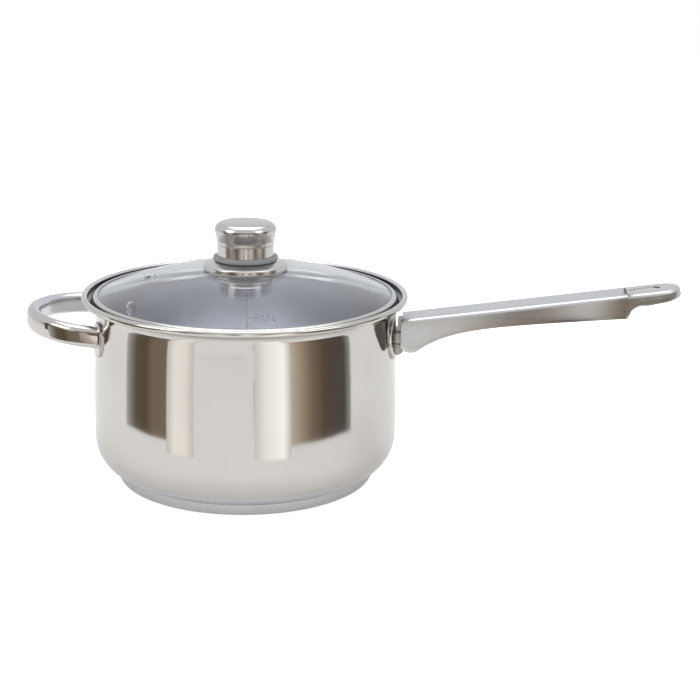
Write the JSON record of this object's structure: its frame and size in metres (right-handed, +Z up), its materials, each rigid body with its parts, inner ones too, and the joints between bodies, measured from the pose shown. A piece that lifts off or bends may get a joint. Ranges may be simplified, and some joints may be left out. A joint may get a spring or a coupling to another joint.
{
  "type": "saucepan with glass lid",
  "caption": "Polished steel saucepan with a disc base, a long channel handle, a loop helper handle and a lift-off domed glass lid with a round knob and a steam vent.",
  "frame": {"origin": "centre of the base's underside, on the surface that the pan stands on", "axes": "+Z up along the pan's axis, +X along the long handle, -X towards the loop handle"},
  "size_m": [0.4328, 0.216, 0.1734],
  "materials": {
    "polished_steel": "mirror-polished stainless sheet",
    "satin_steel": "satin turned stainless",
    "handle_steel": "polished stainless, satin skirts",
    "bracket_steel": "plain pressed steel",
    "knob_steel": "polished stainless",
    "core_aluminium": "rolled",
    "tempered_glass": "clear, faint blue-grey",
    "grey_silicone": "satin moulded",
    "clear_silicone": "translucent moulded",
    "white_nylon": "moulded",
    "black_plastic": "moulded",
    "insert_brass": "knurled turned"
  },
  "bodies": {
    "pan": {"pan_body": "polished_steel", "base_core": "core_aluminium", "base_cap": "satin_steel", "long_handle": "handle_steel", "long_handle_bracket": "bracket_steel", "long_handle_pad": "polished_steel", "long_handle_rivets": "polished_steel", "loop_handle": "polished_steel", "loop_handle_pads": "polished_steel", "loop_handle_rivets": "polished_steel"},
    "lid": {"lid_glass": "tempered_glass", "lid_band": "polished_steel", "vent_eyelet": "polished_steel", "knob_cap": "knob_steel", "knob_core": "black_plastic", "knob_insert": "insert_brass", "knob_neck": "knob_steel", "knob_ring": "grey_silicone", "knob_flange": "knob_steel", "flange_gasket": "clear_silicone", "spacer_bush": "white_nylon", "under_gasket": "clear_silicone", "under_cup": "polished_steel", "lock_washer": "bracket_steel", "lid_screw": "satin_steel"}
  },
  "joints": [
    {"name": "lid_lift", "type": "slide", "parent": "pan", "child": "lid", "axis": [0, 0, 1], "range_m": [0, 0.12]}
  ]
}
